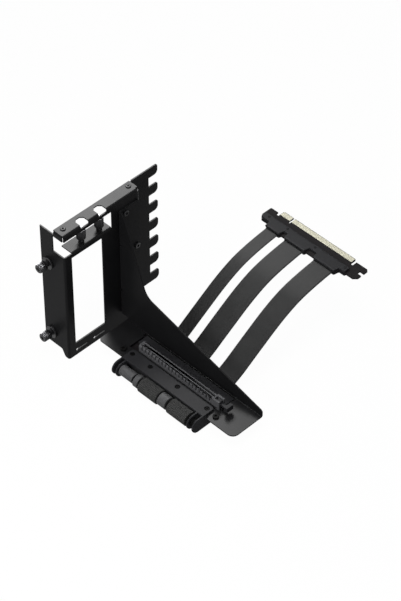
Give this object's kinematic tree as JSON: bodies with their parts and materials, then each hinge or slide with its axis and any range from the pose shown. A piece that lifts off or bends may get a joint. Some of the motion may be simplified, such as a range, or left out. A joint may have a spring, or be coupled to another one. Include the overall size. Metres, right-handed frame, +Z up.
{
  "type": "vertical graphics card bracket",
  "caption": "Folded steel bracket that stands a graphics card upright in a case, with a riser slot, cable rollers, thumbscrews and a ribbon plug.",
  "frame": {"origin": "midway between the two case screws, on the face of the side flange that seats on the case", "axes": "+Z up, +Y through the flange into the case and across the front plate, +X forward along the card slot"},
  "size_m": [0.1995, 0.2277, 0.1444],
  "materials": {
    "powder_coat": "fine matt black powder coat on folded steel",
    "black_screws": "black zinc on steel",
    "black_plastic": "moulded black nylon",
    "satin_sleeves": "black anodised, satin",
    "roller_grip": "fluted black rubber",
    "steel": "plain steel",
    "board_black": "glass epoxy board under black solder mask",
    "ribbon_sleeve": "matt black sleeve of a flat cable",
    "contact_strip": "pale gold plating on the edge contacts"
  },
  "bodies": {
    "bracket": {"slot_frame": "powder_coat", "card_shelf": "powder_coat", "case_ferrules": "black_screws", "gusset_screws": "black_screws", "board_screws": "black_screws", "guide_screws": "black_screws", "guide_axle": "black_screws", "frame_rivets": "black_screws", "guide_frame": "black_plastic", "slot_housing": "black_plastic", "riser_cover": "black_plastic", "plug_cover_top": "black_plastic", "plug_cover_bottom": "black_plastic", "end_bush": "satin_sleeves", "spacer_ring": "satin_sleeves", "spacer_sleeve": "satin_sleeves", "clip_pin": "steel", "board_nuts": "steel", "board_spacers": "steel", "riser_board": "board_black", "plug_board": "board_black", "ribbon_left": "ribbon_sleeve", "ribbon_middle": "ribbon_sleeve", "ribbon_right": "ribbon_sleeve", "plug_contacts": "contact_strip"},
    "case_screw_lower": {"case_screw_lower": "black_screws"},
    "case_screw_upper": {"case_screw_upper": "black_screws"},
    "card_screw_left": {"card_screw_left": "black_screws"},
    "card_screw_right": {"card_screw_right": "black_screws"},
    "roller_left": {"roller_left": "roller_grip"},
    "roller_right": {"roller_right": "roller_grip"},
    "card_clip": {"card_clip": "black_plastic"}
  },
  "joints": [
    {"name": "case_screw_lower_turn", "type": "hinge", "parent": "bracket", "child": "case_screw_lower", "pos_m": [0, 0, -0.04064], "axis": [0, -1, 0], "continuous": true},
    {"name": "case_screw_upper_turn", "type": "hinge", "parent": "bracket", "child": "case_screw_upper", "pos_m": [0, 0, 0.04064], "axis": [0, -1, 0], "continuous": true},
    {"name": "card_screw_left_turn", "type": "hinge", "parent": "bracket", "child": "card_screw_left", "pos_m": [0.0142, 0.0231, 0.0616], "axis": [0, 0, 1], "continuous": true},
    {"name": "card_screw_right_turn", "type": "hinge", "parent": "bracket", "child": "card_screw_right", "pos_m": [0.0142, 0.04342, 0.0616], "axis": [0, 0, 1], "continuous": true},
    {"name": "roller_left_spin", "type": "hinge", "parent": "bracket", "child": "roller_left", "pos_m": [0.10105, 0.0183, -0.0542], "axis": [1, 0, 0], "continuous": true},
    {"name": "roller_right_spin", "type": "hinge", "parent": "bracket", "child": "roller_right", "pos_m": [0.1358, 0.0183, -0.0542], "axis": [1, 0, 0], "continuous": true},
    {"name": "card_clip_press", "type": "hinge", "parent": "bracket", "child": "card_clip", "pos_m": [0.157, 0.0433, -0.04835], "axis": [0, 1, 0], "range_deg": [0, 12]}
  ]
}
